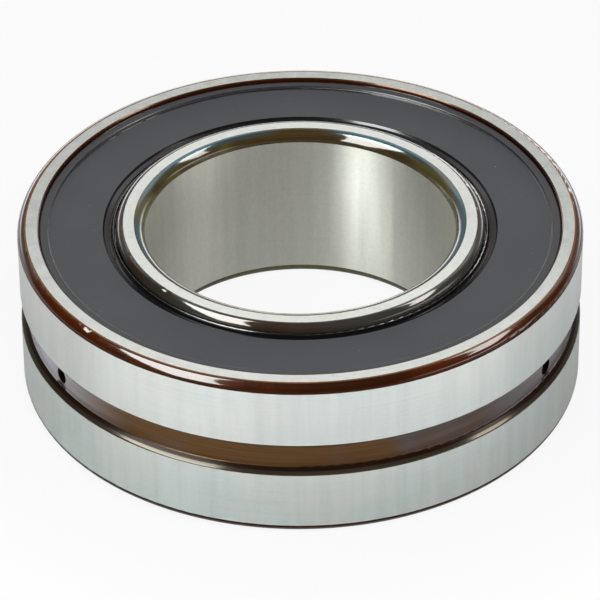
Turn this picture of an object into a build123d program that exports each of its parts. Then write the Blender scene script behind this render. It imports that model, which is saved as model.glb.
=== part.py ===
from build123d import *
import os
from math import asin, cos, degrees, floor, isclose, pi, sin, sqrt

# Sealed double-row spherical roller bearing, in millimetres.
# The origin is the centre of the spherical raceway, on the bore's axis, and +Z runs along that axis.
# Sections are drawn with x as the radius and y as the height, and are then turned about Z.

# Sizes that the shaft and the housing see
bore_diameter = 55.0
outer_diameter = 100.0
width = 31.0

# Outer ring
outer_corner = 1.55
outer_face_width = 2.0
outer_ring_wall = 4.25
recess_chamfer = 0.2
recess_lip_height = 0.85
snap_groove_depth = 0.45
snap_groove_slope = 0.25

# Lubrication groove round the outer ring, and the holes in its floor
groove_width = 6.1
groove_depth = 1.3
groove_flare = 0.75
groove_fillet = 0.4
groove_edge_round = 0.3
hole_diameter = 3.0
hole_count = 3
first_hole_angle = -149.0

# Inner ring
bore_corner = 1.9
inner_face_width = 1.9
land_corner = 1.35
inner_ring_wall = 6.17
rib_rise = 0.95
rib_width = 1.9
rib_chamfer = 0.3
raceway_runout = 0.2

# Rollers
race_clearance = 0.04
roller_spacing = 2.2
crown_relief = 1.3
roller_chamfer = 0.4
roller_end_clearance = 0.15
roller_seal_gap = 1.7

# Guide ring, which floats between the two rows
guide_ring_width = 1.6
guide_clearance = 0.12

# Cages, one window cage of pressed sheet to each row
cage_sheet = 1.25
cage_middle_gap = 0.55
cage_window_land = 0.3
cage_bend = 0.8
cage_rib_gap = 0.6
pocket_clearance = 0.12

# Seals, each a rubber ring moulded on a pressed steel insert
seal_depth = 1.15
rubber_web = 0.6
rim_gap = 0.1
bead_gap = 0.15
bead_width = 1.6
bead_rise = 0.5
bead_round = 0.25
bead_foot = 0.2
insert_sheet = 0.5
insert_flange_height = 1.15
insert_rim_gap = 0.9
insert_land_gap = 2.65
bond_gap = 0.02

# Seal lip, from the web's inner edge down to the inner ring's land
lip_root_gap = 2.25
lip_step = 0.4
lip_step_draft = 0.25
lip_slope_width = 0.75
lip_slope_drop = 0.25
valley_depth = 0.35
valley_width = 0.5
valley_draft = 0.1
ridge_width = 0.3
ridge_rise = 0.9
lip_gap = 0.25
lip_underside_drop = 0.3

# Radii and levels that several pieces share
half_width = width / 2
bore_radius = bore_diameter / 2
outer_radius = outer_diameter / 2
outer_face_radius = outer_radius - outer_corner
recess_radius = outer_face_radius - outer_face_width - recess_chamfer
overhang_level = half_width - recess_lip_height
snap_groove_radius = recess_radius + snap_groove_depth
raceway_radius = outer_radius - outer_ring_wall
land_radius = bore_radius + bore_corner + inner_face_width + land_corner
rib_radius = land_radius + rib_rise
seal_level = half_width - seal_depth
web_level = seal_level - rubber_web
seat_level = web_level - insert_sheet

# Each roller's middle lies on a line from the centre, and its axis is square to that line
roller_diameter = raceway_radius - bore_radius - inner_ring_wall - 2 * race_clearance
roller_radius = roller_diameter / 2
roller_distance = raceway_radius - race_clearance - roller_radius
crown_radius = raceway_radius - crown_relief
row_low = guide_ring_width / 2 + roller_end_clearance
row_high = seat_level - roller_seal_gap
row_level = (row_low + row_high) / 2
row_tilt = asin(row_level / roller_distance)
row_radius = roller_distance * cos(row_tilt)
roller_length = (row_high - row_low - roller_diameter * sin(row_tilt)) / cos(row_tilt)
roller_half = roller_length / 2
roller_count = floor(2 * pi * row_radius / (roller_diameter + roller_spacing))
pocket_half = roller_half + roller_end_clearance


def in_row(along, outward):
    """Radius and height of a point that is given along and square to a roller's axis, from its middle."""
    return (
        row_radius - along * sin(row_tilt) + outward * cos(row_tilt),
        row_level + along * cos(row_tilt) + outward * sin(row_tilt),
    )


def outward_at(along, radius):
    """How far square to the roller's axis the given radius is reached."""
    return (radius - row_radius + along * sin(row_tilt)) / cos(row_tilt)


def inner_race_point(along):
    """Point on the inner raceway's arc, which follows the roller's crown a little more openly."""
    rise = raceway_radius - sqrt(raceway_radius**2 - along**2)
    return in_row(along, rise - roller_radius - race_clearance)


def turned(outline):
    """Solid of revolution about Z."""
    return revolve(Plane.XZ * make_face(outline), Axis.Z)


def both_sides(half_outline):
    """The outline with its mirror image below the bearing's middle plane."""
    return half_outline + mirror(half_outline, Plane.XZ)


def corners_at(face, radius, level):
    """Corners of a section at a radius, and at a height above and below the middle plane."""
    return face.vertices().filter_by(
        lambda corner: isclose(corner.X, radius, abs_tol=1e-6) and isclose(abs(corner.Y), level, abs_tol=1e-6)
    )


def outer_ring():
    """Spherical raceway inside, a snap groove for each seal, and the lubrication groove outside."""
    seat_angle = asin(seat_level / raceway_radius)
    floor_radius = outer_radius - groove_depth
    section = CenterArc((0, 0), raceway_radius, 0, degrees(seat_angle))
    section += Polyline(
        (raceway_radius * cos(seat_angle), seat_level),
        (snap_groove_radius, seat_level),
        (snap_groove_radius, overhang_level - snap_groove_slope),
        (recess_radius, overhang_level),
        (recess_radius, half_width - recess_chamfer),
        (recess_radius + recess_chamfer, half_width),
        (outer_face_radius, half_width),
    )
    section += CenterArc((outer_face_radius, half_width - outer_corner), outer_corner, 0, 90)
    section += Polyline(
        (outer_radius, half_width - outer_corner),
        (outer_radius, groove_width / 2),
        (floor_radius, groove_width / 2 - groove_flare),
        (floor_radius, 0),
    )
    face = make_face(both_sides(section))
    face = fillet(corners_at(face, floor_radius, groove_width / 2 - groove_flare), groove_fillet)
    face = fillet(corners_at(face, outer_radius, groove_width / 2), groove_edge_round)
    ring = revolve(Plane.XZ * face, Axis.Z)
    drill = Rot(0, 90, 0) * Cylinder(
        hole_diameter / 2, outer_radius, align=(Align.CENTER, Align.CENTER, Align.MIN)
    )
    for number in range(hole_count):
        ring -= Rot(0, 0, first_hole_angle + 360 / hole_count * number) * drill
    return ring


def inner_ring():
    """Two concave raceways with a land between them, and at each side a rib and a land for the seal."""
    reach = pocket_half + raceway_runout
    inner_end, outer_end = inner_race_point(-reach), inner_race_point(reach)
    rib_start = in_row(reach, outward_at(reach, rib_radius))
    rib_end_level = rib_start[1] + rib_width
    section = Polyline((inner_end[0], 0), inner_end)
    section += ThreePointArc(inner_end, inner_race_point(0), outer_end)
    section += Polyline(
        outer_end,
        rib_start,
        (rib_radius, rib_end_level - rib_chamfer),
        (rib_radius - rib_chamfer, rib_end_level),
        (land_radius, rib_end_level),
        (land_radius, half_width - land_corner),
    )
    section += CenterArc((land_radius - land_corner, half_width - land_corner), land_corner, 0, 90)
    section += Line((land_radius - land_corner, half_width), (bore_radius + bore_corner, half_width))
    section += CenterArc((bore_radius + bore_corner, half_width - bore_corner), bore_corner, 90, 90)
    section += Line((bore_radius, half_width - bore_corner), (bore_radius, 0))
    return turned(both_sides(section))


def guide_ring():
    """Ring of wedge section between the rows, whose flanks run beside the rollers' inner ends."""
    inner_radius = inner_race_point(-pocket_half - raceway_runout)[0] + guide_clearance
    rim_radius = in_row(-pocket_half, 0)[0] - guide_clearance
    section = Polyline(
        (inner_radius, 0),
        in_row(-pocket_half, outward_at(-pocket_half, inner_radius)),
        in_row(-pocket_half, outward_at(-pocket_half, rim_radius)),
        (rim_radius, 0),
    )
    return turned(both_sides(section))


def roller():
    """Barrel with a large crown radius, standing on the origin's plane with its middle at the origin."""
    crown_half = roller_half - roller_chamfer
    end_radius = roller_radius - crown_radius + sqrt(crown_radius**2 - crown_half**2)
    section = Polyline(
        (end_radius, crown_half),
        (end_radius - roller_chamfer, roller_half),
        (0, roller_half),
        (0, -roller_half),
        (end_radius - roller_chamfer, -roller_half),
        (end_radius, -crown_half),
    )
    section += ThreePointArc((end_radius, -crown_half), (roller_radius, 0), (end_radius, crown_half))
    return turned(section)


def places_in_row(side):
    """Where the rollers stand: side is 1 for the upper row and -1 for the lower, half a pitch on."""
    pitch = 360 / roller_count
    first_angle = 0 if side > 0 else pitch / 2
    return [
        Rot(0, 0, first_angle + pitch * number)
        * Pos(row_radius, 0, side * row_level)
        * Rot(0, -side * degrees(row_tilt), 0)
        for number in range(roller_count)
    ]


def cage(side):
    """Pressed window cage: a wall between the rollers, a rim over the guide ring and a turned-in flange."""
    rim_end = (cage_middle_gap - row_level) / cos(row_tilt)
    flange_inside = pocket_half + cage_window_land
    flange_outside = flange_inside + cage_sheet
    flange_edge = outward_at(flange_inside, rib_radius + cage_rib_gap)
    section = Polyline(
        in_row(rim_end, 0),
        in_row(rim_end, cage_sheet),
        in_row(flange_outside, cage_sheet),
        in_row(flange_outside, flange_edge),
        in_row(flange_inside, flange_edge),
        in_row(flange_inside, 0),
        close=True,
    )
    bend = section.vertices().sort_by_distance(in_row(flange_outside, cage_sheet))[0]
    shell = turned(fillet(bend, cage_bend))
    if side < 0:
        shell = mirror(shell, Plane.XY)
    pocket = Cylinder(roller_radius + pocket_clearance, 2 * pocket_half)
    return shell - [place * pocket for place in places_in_row(side)]


def seal_rubber():
    """Rubber of a seal: a rim in the snap groove, a raised bead, a flat web and a lip at the land."""
    rim_radius = snap_groove_radius - rim_gap
    bead_radius = recess_radius - bead_gap
    bead_level = seal_level + bead_rise
    step_radius = bead_radius - bead_width
    web_radius = land_radius + lip_root_gap
    slope_start = (web_radius - lip_step_draft, seal_level - lip_step)
    valley_start = (slope_start[0] - lip_slope_width, slope_start[1] - lip_slope_drop)
    valley_level = valley_start[1] - valley_depth
    valley_radius = valley_start[0] - valley_draft - valley_width
    lip_radius = land_radius + lip_gap
    ridge_radius = lip_radius + ridge_width
    ridge_round = ridge_width / 2
    ridge_level = valley_level + ridge_rise - ridge_round
    underside_level = seat_level - lip_underside_drop
    insert_top = seat_level + insert_flange_height + bond_gap
    insert_outer = rim_radius - insert_rim_gap + bond_gap
    flange_inner = insert_outer - insert_sheet - 2 * bond_gap
    insert_inner = land_radius + insert_land_gap - bond_gap
    section = Polyline(
        (rim_radius, seat_level),
        (rim_radius, overhang_level - snap_groove_slope - rim_gap),
        (bead_radius, overhang_level - rim_gap),
        (bead_radius, bead_level - bead_round),
    )
    section += CenterArc((bead_radius - bead_round, bead_level - bead_round), bead_round, 0, 90)
    section += Line((bead_radius - bead_round, bead_level), (step_radius + bead_round, bead_level))
    section += CenterArc((step_radius + bead_round, bead_level - bead_round), bead_round, 90, 90)
    section += Line((step_radius, bead_level - bead_round), (step_radius, seal_level + bead_foot))
    section += CenterArc((step_radius - bead_foot, seal_level + bead_foot), bead_foot, 0, -90)
    section += Polyline(
        (step_radius - bead_foot, seal_level),
        (web_radius, seal_level),
        slope_start,
        valley_start,
        (valley_start[0] - valley_draft, valley_level),
        (valley_radius, valley_level),
        (ridge_radius, ridge_level),
    )
    section += CenterArc((lip_radius + ridge_round, ridge_level), ridge_round, 0, 180)
    section += Polyline(
        (lip_radius, ridge_level),
        (lip_radius, valley_level),
        (ridge_radius, underside_level),
        (insert_inner, underside_level),
        (insert_inner, web_level),
        (flange_inner, web_level),
        (flange_inner, insert_top),
        (insert_outer, insert_top),
        (insert_outer, seat_level),
        (rim_radius, seat_level),
    )
    return turned(section)


def seal_insert():
    """Pressed steel disc inside a seal, with its outer edge turned up into the bead."""
    outer = snap_groove_radius - rim_gap - insert_rim_gap
    section = Polyline(
        (land_radius + insert_land_gap, seat_level),
        (outer, seat_level),
        (outer, seat_level + insert_flange_height),
        (outer - insert_sheet, seat_level + insert_flange_height),
        (outer - insert_sheet, web_level),
        (land_radius + insert_land_gap, web_level),
        close=True,
    )
    return turned(section)


def upper_and_lower(name, piece, suffix=""):
    """A piece and its mirror image, under the names of the two sides."""
    return {f"{name}_upper{suffix}": piece, f"{name}_lower{suffix}": mirror(piece, Plane.XY)}


pieces = {
    "outer_ring": outer_ring(),
    "inner_ring": inner_ring(),
    "guide_ring": guide_ring(),
    "cage_upper": cage(1),
    "cage_lower": cage(-1),
    **upper_and_lower("seal", seal_rubber()),
    **upper_and_lower("seal", seal_insert(), "_insert"),
}
barrel = roller()
for row, side in (("upper", 1), ("lower", -1)):
    for number, place in enumerate(places_in_row(side), 1):
        pieces[f"roller_{row}_{number:02d}"] = place * barrel

os.makedirs("parts", exist_ok=True)
for name, piece in pieces.items():
    export_step(piece.solid(), f"parts/{name}.step")
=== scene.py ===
import random
from math import atan2, cos, pi, radians, sin, sqrt

import bmesh
import bpy
from mathutils import Matrix, Vector, noise


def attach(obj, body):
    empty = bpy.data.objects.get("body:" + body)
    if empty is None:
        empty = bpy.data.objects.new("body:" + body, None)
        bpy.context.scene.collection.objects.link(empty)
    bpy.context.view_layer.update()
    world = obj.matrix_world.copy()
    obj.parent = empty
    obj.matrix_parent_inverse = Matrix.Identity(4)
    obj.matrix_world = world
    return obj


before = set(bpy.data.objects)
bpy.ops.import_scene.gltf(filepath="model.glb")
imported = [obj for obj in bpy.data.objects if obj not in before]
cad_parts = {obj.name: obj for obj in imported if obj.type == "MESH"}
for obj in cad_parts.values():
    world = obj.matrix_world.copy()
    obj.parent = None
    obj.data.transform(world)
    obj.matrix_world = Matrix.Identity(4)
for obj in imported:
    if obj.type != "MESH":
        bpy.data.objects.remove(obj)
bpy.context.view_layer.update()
print("stage 1: packed bearing loaded,", len(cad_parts), "nodes")

mm = 0.001
scene = bpy.context.scene

# where the CAD solids change from one surface to the next: radii, and heights above the middle plane
bearing = {
    "sealedBody": "outer_ring_and_seals",
    "halfWidth": 15.5 * mm, "faceStarts": 15.3 * mm,
    # outer ring
    "cornerSize": 1.55 * mm, "landEnd": 13.95 * mm, "landRadius": 49.5 * mm,
    "faceOuter": 48.45 * mm, "faceInner": 46.45 * mm,
    "recessWall": 46.27 * mm, "recessLevel": 14.2 * mm, "chamferStarts": 14.9 * mm,
    "grooveMouth": 3.22 * mm, "grooveInside": 48.0 * mm, "grooveFloor": 48.75 * mm, "grooveEdge": 49.85 * mm,
    "flankMiddle": (49.35 * mm, 49.5 * mm), "holeReach": 3.0 * mm, "holeRadius": 48.58 * mm,
    # inner ring
    "boreWall": 28.5 * mm, "boreEnd": 13.6 * mm, "boreCornerMiddle": 28.40 * mm, "boreSide": 30.0 * mm,
    "innerFaceIn": 29.4 * mm, "innerFaceOut": 31.3 * mm, "underSeals": 12.5 * mm,
    # seals
    "sealLevel": 14.35 * mm, "sealInside": 12.9 * mm,
}


def addNode(tree, kind, inputs=None, **settings):
    made = tree.nodes.new(kind)
    for name, value in settings.items():
        setattr(made, name, value)
    for name, value in (inputs or {}).items():
        plugIn(tree, made.inputs[name], value)
    return made


def plugIn(tree, socket, value):    # links another node's output, or writes a constant
    if isinstance(value, bpy.types.NodeSocket):
        tree.links.new(value, socket)
    else:
        socket.default_value = value


def feed(tree, shader, **sockets):    # Base_Color stands for the socket Base Color
    for socket, value in sockets.items():
        plugIn(tree, shader.inputs[socket.replace("_", " ")], value)


def maths(tree, operation, first, second=0.0, third=0.0):
    made = addNode(tree, "ShaderNodeMath", operation=operation)
    for socket, value in zip(made.inputs, (first, second, third)):
        plugIn(tree, socket, value)
    return made.outputs[0]


def rise(tree, value, low, high):    # 0 at low, 1 at high, smooth between; low may be the larger one
    made = addNode(tree, "ShaderNodeMapRange", {"Value": value, "From Min": low, "From Max": high},
                   interpolation_type="SMOOTHSTEP")
    return made.outputs["Result"]


def opposite(tree, value):
    return maths(tree, "SUBTRACT", 1.0, value)


def both(tree, *values):    # every mask at once
    result = values[0]
    for value in values[1:]:
        result = maths(tree, "MULTIPLY", result, value)
    return result


def either(tree, *values):    # the strongest of the masks
    result = values[0]
    for value in values[1:]:
        result = maths(tree, "MAXIMUM", result, value)
    return result


def beyond(tree, value, limit, soft=0.02 * mm):
    return rise(tree, value, limit - soft, limit + soft)


def within(tree, value, limit, soft=0.02 * mm):
    return opposite(tree, beyond(tree, value, limit, soft))


def blendColours(tree, factor, first, second, how="MIX"):
    made = addNode(tree, "ShaderNodeMix", data_type="RGBA", blend_type=how)
    plugIn(tree, made.inputs["Factor"], factor)
    plugIn(tree, made.inputs[6], first)
    plugIn(tree, made.inputs[7], second)
    return made.outputs[2]


def blendValues(tree, factor, first, second):
    made = addNode(tree, "ShaderNodeMix", data_type="FLOAT")
    plugIn(tree, made.inputs["Factor"], factor)
    plugIn(tree, made.inputs[2], first)
    plugIn(tree, made.inputs[3], second)
    return made.outputs[0]


def greyOf(tree, value):
    return addNode(tree, "ShaderNodeCombineColor", {"Red": value, "Green": value, "Blue": value}).outputs[0]


def dimmed(tree, shade, light):    # a colour, lighter or darker by a value around 1
    return blendColours(tree, 1.0, shade, greyOf(tree, light), "MULTIPLY")


def around(tree, value, middle, swing):    # turns a noise of 0 to 1 into middle plus or minus half the swing
    return maths(tree, "MULTIPLY_ADD", maths(tree, "SUBTRACT", value, 0.5), swing, middle)


def noiseAt(tree, vector, scale, detail=2.0, rough=0.5):
    made = addNode(tree, "ShaderNodeTexNoise",
                   {"Vector": vector, "Scale": scale, "Detail": detail, "Roughness": rough})
    return made.outputs["Fac"]


def colour(red, green, blue):
    return (red, green, blue, 1.0)


def roundPlace(tree):    # where a point is on a turned part: radius, height and the position itself
    position = addNode(tree, "ShaderNodeTexCoord").outputs["Object"]
    x, y, z = addNode(tree, "ShaderNodeSeparateXYZ", {"Vector": position}).outputs
    flat = addNode(tree, "ShaderNodeCombineXYZ", {"X": x, "Y": y})
    radius = addNode(tree, "ShaderNodeVectorMath", {0: flat.outputs[0]}, operation="LENGTH").outputs["Value"]
    return {"position": position, "x": x, "y": y, "z": z, "radius": radius,
            "height": maths(tree, "ABSOLUTE", z)}


def linesAt(tree, place, along, across, detail, rough):    # noise drawn out along the turning lines
    level = maths(tree, "MULTIPLY", maths(tree, "ADD", place["radius"], place["z"]), across)
    x = maths(tree, "MULTIPLY", place["x"], along)
    y = maths(tree, "MULTIPLY", place["y"], along)
    stretched = addNode(tree, "ShaderNodeCombineXYZ", {"X": x, "Y": y, "Z": level}).outputs[0]
    return noiseAt(tree, stretched, 1.0, detail, rough)


def newFinish(name, **constants):
    finish = bpy.data.materials.new(name)
    finish.use_nodes = True
    tree = finish.node_tree
    tree.nodes.clear()
    shader = addNode(tree, "ShaderNodeBsdfPrincipled")
    feed(tree, shader, **constants)
    addNode(tree, "ShaderNodeOutputMaterial", {"Surface": shader.outputs[0]})
    return finish, tree, shader


def bump(tree, shader, height, distance, strength=1.0, socket="Normal"):
    made = addNode(tree, "ShaderNodeBump", {"Height": height, "Distance": distance, "Strength": strength})
    tree.links.new(made.outputs[0], shader.inputs[socket])


def followTheTurning(tree, shader):
    tangent = addNode(tree, "ShaderNodeTangent", direction_type="RADIAL", axis="Z")
    tree.links.new(tangent.outputs[0], shader.inputs["Tangent"])


def surface(red, green, blue, rough, film, metal):    # film is the share of oil, metal that of bare steel
    return {"shade": colour(red, green, blue), "rough": rough, "film": film, "metal": metal}


# surfaces of the two rings: skin is the tempered and oiled corner
# pairs give where a tone begins and where it is full, in a noise, along a corner's arc or in millimetres
outerSteel = {
    "skin": surface(0.064, 0.0130, 0.0010, 0.22, 1.0, 0.06),
    # painted shade darkens the corner's skin towards the land, painted light brightens it towards the face
    "skinPaintedShade": colour(0.036, 0.0075, 0.0010), "skinPaintedShadeEnds": (0.12, 0.42),
    "skinPaintedLight": colour(0.20, 0.085, 0.026), "skinPaintedLightEnds": (0.05, 0.30),
    "skinBrown": colour(0.032, 0.0078, 0.0010), "brownPatches": (0.42, 0.62),
    "filmUp": (0.18, 0.36), "filmOut": (0.06, 0.18),
    "land": surface(0.76, 0.78, 0.75, 0.25, 0.0, 1.0),
    "landCool": colour(0.715, 0.765, 0.745), "landPatches": (0.42, 0.60),
    "face": surface(0.82, 0.84, 0.795, 0.20, 0.0, 1.0),
    "groove": surface(0.135, 0.070, 0.030, 0.32, 0.0, 1.0),
    # groove floor tint: random temper patches, and painted reflection tilting it mauve towards the right and
    # the back
    "grooveTemperAndReflection": colour(0.125, 0.098, 0.092), "coolPatches": (0.30, 0.48), "coolReflectionSlope": (2.4, 3.2),
    # painted reflection: pale lavender groove floor at the sides and back, strongest on the left
    "groovePaintedReflection": surface(0.74, 0.72, 0.78, 0.32, 0.0, 0.6),
    "paleReflectionBack": (-40.0 * mm, -18.0 * mm), "paleReflectionLeft": (80.0 * mm, -20.0 * mm),
    # painted shade: the groove's flanks far darker than its floor, their outer half lighter
    "flank": surface(0.018, 0.0070, 0.0025, 0.20, 0.0, 0.10),
    "flankOuter": surface(0.064, 0.057, 0.044, 0.14, 0.0, 0.6),
    # painted shade: the lubrication holes' walls dark
    "hole": surface(0.014, 0.0065, 0.003, 0.30, 0.0, 0.3),
    "edge": surface(0.06, 0.036, 0.013, 0.18, 0.6, 0.2),
    "chamfer": surface(0.07, 0.030, 0.010, 0.24, 0.3, 0.5),
    "wall": surface(0.06, 0.014, 0.004, 0.26, 0.3, 0.5),
    "inside": surface(0.50, 0.49, 0.47, 0.20, 0.0, 1.0),
    "scratch": 0.18, "grain": 0.10, "mottle": 0.30, "anisotropy": 0.5,
}

innerSteel = {
    "skin": surface(0.050, 0.032, 0.020, 0.16, 1.0, 0.3),
    "skinCool": colour(0.056, 0.053, 0.042), "coolPatches": (0.42, 0.60),
    "boreSkin": surface(0.100, 0.080, 0.022, 0.16, 1.0, 0.10),
    "boreBrown": colour(0.060, 0.038, 0.012), "brownPatches": (0.42, 0.58),
    # teal: random temper patches, and painted reflection placed at the sides and towards the back
    "boreBlueTemperAndReflection": surface(0.070, 0.125, 0.140, 0.16, 1.0, 0.6),
    "bluePatches": (0.30, 0.50), "blueReflectionAside": (3.0 * mm, 10.0 * mm), "blueReflectionBack": (-22.0 * mm, -8.0 * mm),
    "face": surface(0.755, 0.765, 0.725, 0.20, 0.0, 0.2),
    "bore": surface(0.585, 0.58, 0.53, 0.42, 0.2, 0.58),
    "inside": surface(0.50, 0.49, 0.47, 0.20, 0.0, 1.0),
    "scratch": 0.10, "grain": 0.22, "mottle": 0.26, "anisotropy": 0.9,
}

# shared by both rings: swing of the colour and of the roughness, and the depth of the marks
ringWear = {"streak": 0.7, "roughBands": 0.35, "scratchDepth": 0.0012 * mm, "filmDepth": 0.007 * mm}


def tinted(tree, base, factor, other):    # the same surface, with another colour where factor is 1
    return dict(base, shade=blendColours(tree, factor, base["shade"], other))


def inZones(tree, base, zones, part):    # later zones lie over earlier ones
    blend = blendColours if part == "shade" else blendValues
    result = base[part]
    for mask, zone in zones:
        result = blend(tree, mask, result, zone[part])
    return result


def ringFinish(name, look, zonesOf):
    finish, tree, shader = newFinish(name, Coat_Roughness=0.07, Coat_IOR=1.54, Specular_IOR_Level=0.1,
                                     Anisotropic=look["anisotropy"], Anisotropic_Rotation=0.25)
    place = roundPlace(tree)
    noises = {    # lines: scale along, scale across, detail, roughness; the others have one scale
        "fine": linesAt(tree, place, 25.0, 4500.0, 3.0, 0.65),
        "bands": linesAt(tree, place, 420.0, 22.0, 4.0, 0.65),
        "streak": linesAt(tree, place, 60.0, 2600.0, 2.0, 0.5),
        "patch": noiseAt(tree, place["position"], 60.0, 3.0, 0.55),
        "temper": noiseAt(tree, place["position"], 30.0, 3.0, 0.6),
        "grain": noiseAt(tree, place["position"], 1600.0, 2.0, 0.7),
    }
    base, zones, ground = zonesOf(tree, place, look, noises)
    light = around(tree, noises["fine"], 1.0, look["scratch"])
    light = maths(tree, "ADD", light, around(tree, noises["grain"], 0.0, look["grain"]))
    light = maths(tree, "ADD", light, around(tree, noises["bands"], 0.0, look["mottle"]))
    light = blendValues(tree, ground, around(tree, noises["streak"], 1.0, ringWear["streak"]), light)
    rough = inZones(tree, base, zones, "rough")
    unevenness = around(tree, noises["bands"], 0.0, ringWear["roughBands"])
    feed(tree, shader,
         Base_Color=dimmed(tree, inZones(tree, base, zones, "shade"), light),
         Roughness=maths(tree, "MULTIPLY_ADD", unevenness, rough, rough),
         Coat_Weight=inZones(tree, base, zones, "film"),
         Metallic=inZones(tree, base, zones, "metal"))
    followTheTurning(tree, shader)
    bump(tree, shader, noises["fine"], ringWear["scratchDepth"])
    wavy = maths(tree, "ADD", maths(tree, "MULTIPLY", noises["patch"], 2.0), noises["streak"])
    bump(tree, shader, wavy, ringWear["filmDepth"], 1.0, "Coat Normal")
    return finish


def cornerShare(tree, value, start):    # 0 where the corner's arc starts, 1 where it ends
    return maths(tree, "DIVIDE", maths(tree, "SUBTRACT", value, start), bearing["cornerSize"])


def outerZones(tree, place, look, noises):
    r, h = place["radius"], place["height"]
    # lands, face and recess
    onLand = both(tree, beyond(tree, h, bearing["grooveMouth"]), within(tree, h, bearing["landEnd"]),
                  beyond(tree, r, bearing["landRadius"]))
    onFace = both(tree, beyond(tree, h, bearing["faceStarts"]), within(tree, r, bearing["faceOuter"]),
                  beyond(tree, r, bearing["faceInner"]))
    onChamfer = both(tree, beyond(tree, h, bearing["chamferStarts"]), within(tree, r, bearing["faceInner"]))
    inRecess = within(tree, r, bearing["recessWall"], 0.03 * mm)
    onWall = both(tree, inRecess, beyond(tree, h, bearing["recessLevel"]))
    inside = both(tree, inRecess, within(tree, h, bearing["recessLevel"]))
    land = tinted(tree, look["land"], rise(tree, noises["patch"], *look["landPatches"]), look["landCool"])
    # groove, with its floor, flanks, edges and holes
    inGroove = both(tree, within(tree, h, bearing["grooveMouth"]), beyond(tree, r, bearing["grooveInside"]))
    onFloor = both(tree, inGroove, within(tree, r, bearing["grooveFloor"], 0.04 * mm))
    outerHalf = both(tree, inGroove, rise(tree, r, *bearing["flankMiddle"]))
    onEdge = both(tree, inGroove, beyond(tree, r, bearing["grooveEdge"], 0.03 * mm))
    # painted shade inside the lubrication holes
    paintedHoleShade = both(tree, within(tree, h, bearing["holeReach"]), within(tree, r, bearing["holeRadius"]))
    # painted reflection: pale groove floor away from the front, most on the left
    paleReflectionAtSides = both(tree, onFloor, rise(tree, place["y"], *look["paleReflectionBack"]),
                   rise(tree, place["x"], *look["paleReflectionLeft"]))
    # painted reflection: the floor turns mauve towards the right and the back by position, over random temper
    # patches
    slopeX, slopeY = look["coolReflectionSlope"]
    slope = maths(tree, "MULTIPLY_ADD", place["x"], slopeX, maths(tree, "MULTIPLY", place["y"], slopeY))
    cool = rise(tree, maths(tree, "ADD", noises["temper"], slope), *look["coolPatches"])
    groove = tinted(tree, look["groove"], cool, look["grooveTemperAndReflection"])
    # tempered corner: brown patches, painted shade towards the land, painted light towards the face, and
    # thinly oiled between
    upwards = cornerShare(tree, h, bearing["landEnd"])
    outwards = cornerShare(tree, r, bearing["faceOuter"])
    skin = tinted(tree, look["skin"], rise(tree, noises["patch"], *look["brownPatches"]), look["skinBrown"])
    shade = blendColours(tree, rise(tree, upwards, *look["skinPaintedShadeEnds"]), look["skinPaintedShade"], skin["shade"])
    shade = blendColours(tree, rise(tree, outwards, *look["skinPaintedLightEnds"]), look["skinPaintedLight"], shade)
    film = both(tree, rise(tree, upwards, *look["filmUp"]), rise(tree, outwards, *look["filmOut"]))
    skin = dict(skin, shade=shade, film=film)
    zones = [(onChamfer, look["chamfer"]), (onWall, look["wall"]), (onFace, look["face"]),
             (onLand, land), (inGroove, look["flank"]), (outerHalf, look["flankOuter"]),
             (onFloor, groove), (paleReflectionAtSides, look["groovePaintedReflection"]), (onEdge, look["edge"]),
             (paintedHoleShade, look["hole"]), (inside, look["inside"])]
    return skin, zones, either(tree, onFace, onLand)


def innerZones(tree, place, look, noises):
    r, h = place["radius"], place["height"]
    onBore = both(tree, within(tree, r, bearing["boreWall"]), within(tree, h, bearing["boreEnd"]))
    byBore = both(tree, within(tree, r, bearing["boreSide"]), beyond(tree, h, bearing["boreEnd"]))
    onFace = both(tree, beyond(tree, h, bearing["faceStarts"]), within(tree, r, bearing["innerFaceOut"]),
                  beyond(tree, r, bearing["innerFaceIn"]))
    inside = both(tree, beyond(tree, r, bearing["boreSide"]), within(tree, h, bearing["underSeals"]))
    aside = maths(tree, "ABSOLUTE", place["x"])
    # painted reflection: teal on the bore corner's outer part at the sides and back, over random temper
    # patches
    blue = both(tree, byBore, beyond(tree, r, bearing["boreCornerMiddle"], 0.40 * mm),
                rise(tree, noises["temper"], *look["bluePatches"]), rise(tree, aside, *look["blueReflectionAside"]),
                rise(tree, place["y"], *look["blueReflectionBack"]))
    skin = tinted(tree, look["skin"], rise(tree, noises["temper"], *look["coolPatches"]), look["skinCool"])
    mottled = tinted(tree, look["boreSkin"], rise(tree, noises["patch"], *look["brownPatches"]),
                     look["boreBrown"])
    zones = [(byBore, mottled), (blue, look["boreBlueTemperAndReflection"]), (onFace, look["face"]), (onBore, look["bore"]),
             (inside, look["inside"])]
    return skin, zones, either(tree, onFace, onBore)


outerFinish = ringFinish("ground outer ring steel", outerSteel, outerZones)
innerFinish = ringFinish("ground inner ring steel", innerSteel, innerZones)
print("stage 2: ring steel")

sealLook = {
    "rubber": colour(0.033, 0.0372, 0.0435), "rough": 0.38, "patchLight": 0.35, "patchRough": 0.14,
    "grain": 2600.0, "grainDepth": 0.010 * mm,
    "scuff": colour(0.10, 0.105, 0.11), "scuffShare": 0.35,
    "scuffLines": (0.66, 0.74), "scuffPatches": (0.50, 0.66),
    "rim": colour(0.031, 0.030, 0.034), "edgeRough": 0.20,
    "rimStarts": 44.48 * mm, "beadEnds": 44.73 * mm, "rimEnds": 45.85 * mm,
    "wet": colour(0.008, 0.007, 0.007), "wetRough": 0.20, "valleyWet": 0.3,
    "lipStarts": 34.93 * mm, "ridgeEnds": 33.25 * mm,
}


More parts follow.
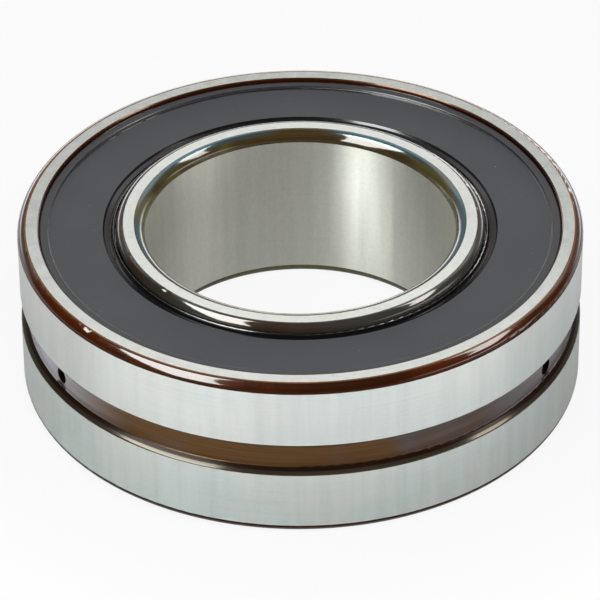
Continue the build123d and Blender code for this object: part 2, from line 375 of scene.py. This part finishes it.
def rubberFinish(name, look):
    finish, tree, shader = newFinish(name, Metallic=0.0, Specular_IOR_Level=0.5, Coat_Roughness=0.10,
                                     Coat_IOR=1.5)
    place = roundPlace(tree)
    r = place["radius"]
    patch = noiseAt(tree, place["position"], 90.0, 4.0, 0.65)
    grain = noiseAt(tree, place["position"], look["grain"], 2.0, 0.6)
    lines = linesAt(tree, place, 500.0, 4000.0, 1.0, 0.5)
    scuffed = both(tree, rise(tree, lines, *look["scuffLines"]), rise(tree, patch, *look["scuffPatches"]))
    rim = beyond(tree, r, look["rimStarts"], 0.1 * mm)
    edges = both(tree, rim, either(tree, within(tree, r, look["beadEnds"], 0.1 * mm),
                                   beyond(tree, r, look["rimEnds"], 0.1 * mm)))
    lip = within(tree, r, look["lipStarts"], 0.04 * mm)
    hidden = within(tree, place["height"], bearing["sealInside"], 0.05 * mm)
    base = blendColours(tree, rim, look["rubber"], look["rim"])
    base = dimmed(tree, base, around(tree, patch, 1.0, look["patchLight"]))
    base = blendColours(tree, maths(tree, "MULTIPLY", scuffed, look["scuffShare"]), base, look["scuff"])
    rough = around(tree, patch, look["rough"], look["patchRough"])
    rough = blendValues(tree, edges, rough, look["edgeRough"])
    wetness = blendValues(tree, within(tree, r, look["ridgeEnds"], 0.05 * mm), look["valleyWet"], 1.0)
    feed(tree, shader,
         Base_Color=blendColours(tree, lip, base, look["wet"]),
         Roughness=blendValues(tree, lip, rough, look["wetRough"]),
         Coat_Weight=both(tree, lip, opposite(tree, hidden), wetness))
    bump(tree, shader, grain, look["grainDepth"], 0.5)
    return finish


hiddenSteel = {"patchLight": 0.25, "patchRough": 0.14, "lineDepth": 0.002 * mm}


def plainSteel(name, shade, rough, streak, along=30.0, across=5000.0):    # steel that the seals hide
    finish, tree, shader = newFinish(name, Metallic=1.0, Anisotropic=0.4, Anisotropic_Rotation=0.25)
    place = roundPlace(tree)
    lines = linesAt(tree, place, along, across, 3.0, 0.6)
    patch = noiseAt(tree, place["position"], 70.0, 3.0, 0.55)
    patchLight = around(tree, patch, 0.0, hiddenSteel["patchLight"])
    light = maths(tree, "ADD", around(tree, lines, 1.0, streak), patchLight)
    feed(tree, shader,
         Base_Color=dimmed(tree, shade, light),
         Roughness=around(tree, patch, rough, hiddenSteel["patchRough"]))
    followTheTurning(tree, shader)
    bump(tree, shader, lines, hiddenSteel["lineDepth"], 0.6)
    return finish


finishes = {
    "ring_steel": outerFinish, "ring_steel_inner": innerFinish,
    "seal_rubber": rubberFinish("moulded seal rubber", sealLook),
    "guide_ring_steel": plainSteel("turned guide ring steel", colour(0.42, 0.41, 0.39), 0.34, 0.3),
    "cage_steel": plainSteel("nitrided cage steel", colour(0.17, 0.17, 0.165), 0.42, 0.2, 60.0, 1500.0),
    "roller_steel": plainSteel("honed roller steel", colour(0.72, 0.72, 0.70), 0.16, 0.1),
    "insert_steel": plainSteel("pressed insert steel", colour(0.45, 0.45, 0.44), 0.38, 0.2),
}
for name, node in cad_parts.items():
    for slot in node.material_slots:
        slot.material = finishes[slot.material.name.split(".")[0]]
print("stage 3: finishes on", len(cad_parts), "nodes")


def settle(name, shape, finish, body):    # the mesh becomes a piece that moves with its body
    bmesh.ops.remove_doubles(shape, verts=shape.verts, dist=0.0005 * mm)
    bmesh.ops.recalc_face_normals(shape, faces=shape.faces)
    mesh = bpy.data.meshes.new(name)
    shape.to_mesh(mesh)
    shape.free()
    for face in mesh.polygons:
        face.use_smooth = True
    mesh.materials.append(finish)
    piece = bpy.data.objects.new(name, mesh)
    scene.collection.objects.link(piece)
    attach(piece, body)
    return piece


# preserving oil that stands in the hollows of the upper seal
oil = {
    "shade": colour(0.012, 0.007, 0.004), "thinShade": colour(0.022, 0.013, 0.006),
    "rippleDepth": 0.02 * mm, "stepsPerMm": 1.2, "wobbleScale": 22.0, "wobbleApart": 900.0,
    # middle and half span in degrees from the front, radius, level, half width and half depth in mm, wobble
    "pools": {
        "lip_oil_right": (88.0, 26.0, 33.70, 13.52, 0.40, 0.17, 0.03),
        "lip_oil_left": (-96.0, 22.0, 33.70, 13.50, 0.42, 0.14, 0.08),
        "lip_oil_back": (168.0, 30.0, 33.70, 13.48, 0.40, 0.12, 0.10),
        "bead_oil_back_left": (-140.0, 27.0, 44.32, 14.37, 0.22, 0.07, 0.45),
        "bead_oil_back": (165.0, 38.0, 44.36, 14.37, 0.16, 0.09, 0.25),
        "rim_oil_back_right": (158.0, 15.0, 46.16, 14.70, 0.13, 0.10, 0.9),
        "rim_oil_back_left": (-135.0, 14.0, 46.16, 14.68, 0.12, 0.08, 0.8),
    },
}


def oilFinish():
    finish, tree, shader = newFinish("preserving oil", Metallic=0.0, Roughness=0.06, IOR=1.47,
                                     Specular_IOR_Level=0.5)
    place = addNode(tree, "ShaderNodeTexCoord").outputs["Object"]
    thick = noiseAt(tree, place, 400.0, 3.0, 0.6)
    feed(tree, shader, Base_Color=blendColours(tree, thick, oil["shade"], oil["thinShade"]))
    bump(tree, shader, noiseAt(tree, place, 500.0, 2.0, 0.5), oil["rippleDepth"], 0.8)
    return finish


def oilPool(name, finish, middle, half, radius, level, width, depth, wobble):
    radius, level, width, depth = (size * mm for size in (radius, level, width, depth))
    middle, half = radians(middle - 90.0), radians(half)
    shape = bmesh.new()
    bmesh.ops.create_circle(shape, segments=12, radius=1.0)
    bmesh.ops.scale(shape, vec=(width, depth, 1.0), verts=shape.verts)
    place = (Matrix.Rotation(middle - half, 4, "Z") @ Matrix.Translation((radius, 0, level))
             @ Matrix.Rotation(pi / 2, 4, "X"))
    bmesh.ops.transform(shape, matrix=place, verts=shape.verts)
    bmesh.ops.spin(shape, geom=shape.verts[:] + shape.edges[:], cent=(0, 0, 0), axis=(0, 0, 1),
                   angle=2 * half, steps=int(half * radius / mm * oil["stepsPerMm"]) * 2)
    for vert in shape.verts:    # the ring of oil thins out to nothing at both ends
        angle = atan2(vert.co.y, vert.co.x)
        share = ((angle - middle + pi) % (2 * pi) - pi) / half
        bulge = noise.noise(Vector((angle * oil["wobbleScale"], radius * oil["wobbleApart"], 0.0)))
        swell = 1.0 + wobble * bulge
        spine = Vector((cos(angle) * radius, sin(angle) * radius, level))
        vert.co = spine + (vert.co - spine) * swell * sqrt(max(0.0, 1.0 - share * share))
    return settle(name, shape, finish, bearing["sealedBody"])


oilMaterial = oilFinish()
for name, sizes in oil["pools"].items():
    oilPool(name, oilMaterial, *sizes)

# drop of oil under each lubrication hole, on the groove's lower flank: its size is half its extent
holeOil = {"angles": (-59.0, 61.0, 181.0), "radius": 48.80 * mm, "level": -1.95 * mm,
           "size": (1.5 * mm, 0.16 * mm, 0.42 * mm)}


def holeDrops(finish):
    shape = bmesh.new()
    for angle in holeOil["angles"]:
        place = (Matrix.Rotation(radians(angle), 4, "Z")
                 @ Matrix.Translation((0, -holeOil["radius"], holeOil["level"]))
                 @ Matrix.Diagonal((*holeOil["size"], 1.0)))
        bmesh.ops.create_uvsphere(shape, u_segments=24, v_segments=12, radius=1.0, matrix=place)
    return settle("hole_oil", shape, finish, bearing["sealedBody"])


holeDrops(oilMaterial)

# specks on both seals: how many on each, the radii between which they lie and their sizes in mm
dust = {
    "count": 90, "inner": 35.3, "outer": 44.1, "small": 0.035, "large": 0.10, "longest": 2.2, "flatness": 0.6,
    "shade": colour(0.14, 0.14, 0.14), "paleShade": colour(0.30, 0.31, 0.31), "seed": 11,
}


def dustSpecks():
    finish, tree, shader = newFinish("pale dust", Metallic=0.0, Roughness=0.9)
    place = addNode(tree, "ShaderNodeTexCoord").outputs["Object"]
    pale = noiseAt(tree, place, 500.0)
    feed(tree, shader, Base_Color=blendColours(tree, pale, dust["shade"], dust["paleShade"]))
    pick = random.Random(dust["seed"])
    shape = bmesh.new()
    for side in (1, -1):
        for _ in range(dust["count"]):
            size = (dust["small"] + (dust["large"] - dust["small"]) * pick.random() ** 4) * mm
            reach = sqrt(pick.uniform(dust["inner"] ** 2, dust["outer"] ** 2)) * mm
            place = (Matrix.Rotation(pick.uniform(0, 2 * pi), 4, "Z")
                     @ Matrix.Translation((reach, 0, side * bearing["sealLevel"]))
                     @ Matrix.Rotation(pick.uniform(0, pi), 4, "Z")
                     @ Matrix.Diagonal((size * pick.uniform(1.0, dust["longest"]), size,
                                        size * dust["flatness"], 1.0)))
            bmesh.ops.create_icosphere(shape, subdivisions=1, radius=1.0, matrix=place)
    return settle("seal_dust", shape, finish, bearing["sealedBody"])


dustSpecks()
print("stage 4: oil and dust")

white = colour(1.0, 1.0, 1.0)

# pairs are the places between which one tone fades into the other
floorLook = {
    "size": 1.6,
    # painted shadow: the floor is coloured darker close round the bearing
    "pale": colour(0.90, 0.90, 0.90), "shadowNear": colour(0.44, 0.46, 0.455), "shadowNearEnds": (50.0 * mm, 88.0 * mm),
    "sideShade": 0.68, "sideStarts": (-60.0 * mm, -12.0 * mm),    # painted shadow, darker beside the bearing than in front
    "seen": 0.91, "mirrored": 0.15,
    # what the steel mirrors of the floor far away in front and beside
    "far": colour(0.05, 0.05, 0.05), "farOut": (150.0 * mm, 300.0 * mm), "farFront": (300.0 * mm, 50.0 * mm),
}


def makeFloor():
    mesh = bpy.data.meshes.new("studio_floor")
    shape = bmesh.new()
    bmesh.ops.create_grid(shape, x_segments=1, y_segments=1, size=floorLook["size"],
                          matrix=Matrix.Translation((0, 0, -bearing["halfWidth"])))
    shape.to_mesh(mesh)
    shape.free()
    floor = bpy.data.objects.new("studio_floor", mesh)
    scene.collection.objects.link(floor)
    material = bpy.data.materials.new("pale floor")
    material.use_nodes = True
    tree = material.node_tree
    tree.nodes.clear()
    place = roundPlace(tree)
    # painted shadow on the floor: darker near the bearing, and darker still beside it
    pale = blendColours(tree, rise(tree, place["radius"], *floorLook["shadowNearEnds"]), floorLook["shadowNear"],
                        floorLook["pale"])
    beside = blendValues(tree, rise(tree, place["y"], *floorLook["sideStarts"]), 1.0, floorLook["sideShade"])
    plain = addNode(tree, "ShaderNodeBsdfDiffuse", {"Color": dimmed(tree, pale, beside)})
    paths = addNode(tree, "ShaderNodeLightPath").outputs
    farMirror = both(tree, paths["Is Glossy Ray"], rise(tree, place["radius"], *floorLook["farOut"]),
                     rise(tree, place["y"], *floorLook["farFront"]))
    shown = blendColours(tree, farMirror, white, floorLook["far"])
    bright = addNode(tree, "ShaderNodeEmission", {"Color": shown, "Strength": 1.0})
    seen = maths(tree, "MULTIPLY", paths["Is Camera Ray"], floorLook["seen"])
    mirrored = maths(tree, "MULTIPLY", paths["Is Glossy Ray"], floorLook["mirrored"])
    share = either(tree, seen, mirrored, farMirror, paths["Is Transmission Ray"])
    mixed = addNode(tree, "ShaderNodeMixShader", {"Fac": share, 1: plain.outputs[0], 2: bright.outputs[0]})
    addNode(tree, "ShaderNodeOutputMaterial", {"Surface": mixed.outputs[0]})
    mesh.materials.append(material)
    return floor


# light that the steel mirrors, by direction: up is 1 overhead, back 1 behind the bearing, side 1 at the right
surroundings = {
    "frontLow": 0.02, "overhead": 0.03, "overheadUp": (0.66, 0.96),
    "horizon": 3.4, "horizonUp": (0.08, 0.34), "horizonBack": (0.45, 0.95),
    "panelLow": 0.34, "panelHigh": 1.15, "panelUp": (0.555, 0.610), "panelBack": (0.45, 0.68),
    # low panel at the right, for the right-hand lands
    "sidePanel": 3.6, "sideRight": (0.55, 0.92), "sideBack": (0.32, -0.05),
    "sideBottom": (0.02, 0.12), "sideTop": (0.28, 0.16),
}


def makeSurroundings(look):
    world = bpy.data.worlds.new("pale studio")
    scene.world = world
    world.use_nodes = True
    tree = world.node_tree
    tree.nodes.clear()
    direction = addNode(tree, "ShaderNodeTexCoord").outputs["Generated"]
    side, back, up = addNode(tree, "ShaderNodeSeparateXYZ", {"Vector": direction}).outputs
    above = blendValues(tree, rise(tree, up, *look["overheadUp"]), look["frontLow"], look["overhead"])
    horizon = both(tree, opposite(tree, rise(tree, up, *look["horizonUp"])),
                   rise(tree, back, *look["horizonBack"]), look["horizon"])
    panel = blendValues(tree, rise(tree, up, *look["panelUp"]), look["panelLow"], look["panelHigh"])
    panel = both(tree, panel, rise(tree, back, *look["panelBack"]))
    right = both(tree, rise(tree, side, *look["sideRight"]), rise(tree, back, *look["sideBack"]),
                 rise(tree, up, *look["sideBottom"]), rise(tree, up, *look["sideTop"]), look["sidePanel"])
    light = either(tree, above, horizon, panel, right)
    paths = addNode(tree, "ShaderNodeLightPath").outputs
    seen = blendColours(tree, paths["Is Camera Ray"], greyOf(tree, light), white)
    background = addNode(tree, "ShaderNodeBackground", {"Color": seen, "Strength": 1.0})
    addNode(tree, "ShaderNodeOutputWorld", {"Surface": background.outputs[0]})


# lamps at one distance from the middle: where they stand, the way of their long side, and sizes in metres
lamps = {
    "distance": 1.2,
    "boxes": {
        "front left softbox": {
            "towards": (-0.580, -0.345, 0.738), "longWay": (0.285, 0.824, 0.49), "size": (0.52, 1.96),
            "strength": 14.5, "tint": (0.955, 1.0, 0.985), "lightsMatt": False, "isMirrored": True,
        },
        "right strip softbox": {
            "towards": (0.600, 0.150, 0.786), "longWay": (-0.579, 0.758, 0.298), "size": (0.21, 1.1),
            "strength": 10.0, "tint": (1.0, 0.97, 0.94), "lightsMatt": False, "isMirrored": True,
        },
        "overhead fill": {
            "towards": (0.02, -0.45, 0.89), "longWay": (0.0, 1.0, 0.0), "size": (1.1, 1.1),
            "strength": 4.35, "tint": (1.0, 1.0, 1.0), "lightsMatt": True, "isMirrored": False,
        },
    },
}


def makeLamp(name, box):
    width, length = box["size"]
    data = bpy.data.lights.new(name, "AREA")
    data.shape, data.size, data.size_y = "RECTANGLE", width, length
    data.energy = box["strength"] * pi * width * length
    data.color = box["tint"]
    lamp = bpy.data.objects.new(name, data)
    towards = Vector(box["towards"]).normalized()
    long = Vector(box["longWay"])
    long = (long - towards * long.dot(towards)).normalized()
    turn = Matrix((long.cross(towards), long, towards)).transposed().to_4x4()
    lamp.matrix_world = Matrix.Translation(towards * lamps["distance"]) @ turn
    lamp.visible_diffuse = box["lightsMatt"]
    lamp.visible_glossy = box["isMirrored"]
    scene.collection.objects.link(lamp)


camera = {"elevation": 35.44, "roll": -0.45, "distance": 760.0 * mm, "side": -0.14 * mm, "drop": -1.72 * mm,
          "focal": 255.04, "sensor": 36.0}


def makeCamera():
    data = bpy.data.cameras.new("photo camera")
    data.sensor_width = camera["sensor"]
    data.lens = camera["focal"]
    data.clip_start, data.clip_end = 0.01, 20.0
    eye = bpy.data.objects.new("photo camera", data)
    tilt = radians(camera["elevation"])
    away = Vector((0.0, -cos(tilt), sin(tilt)))
    upwards = Vector((0.0, sin(tilt), cos(tilt)))
    spot = away * camera["distance"] + upwards * camera["drop"] + Vector((camera["side"], 0.0, 0.0))
    eye.matrix_world = (Matrix.Translation(spot) @ Matrix.Rotation(pi / 2 - tilt, 4, "X")
                        @ Matrix.Rotation(radians(camera["roll"]), 4, "Z"))
    scene.collection.objects.link(eye)
    scene.camera = eye


makeFloor()
makeSurroundings(surroundings)
for name, box in lamps["boxes"].items():
    makeLamp(name, box)
makeCamera()
scene.view_settings.view_transform = "Standard"
print("stage 5: studio")
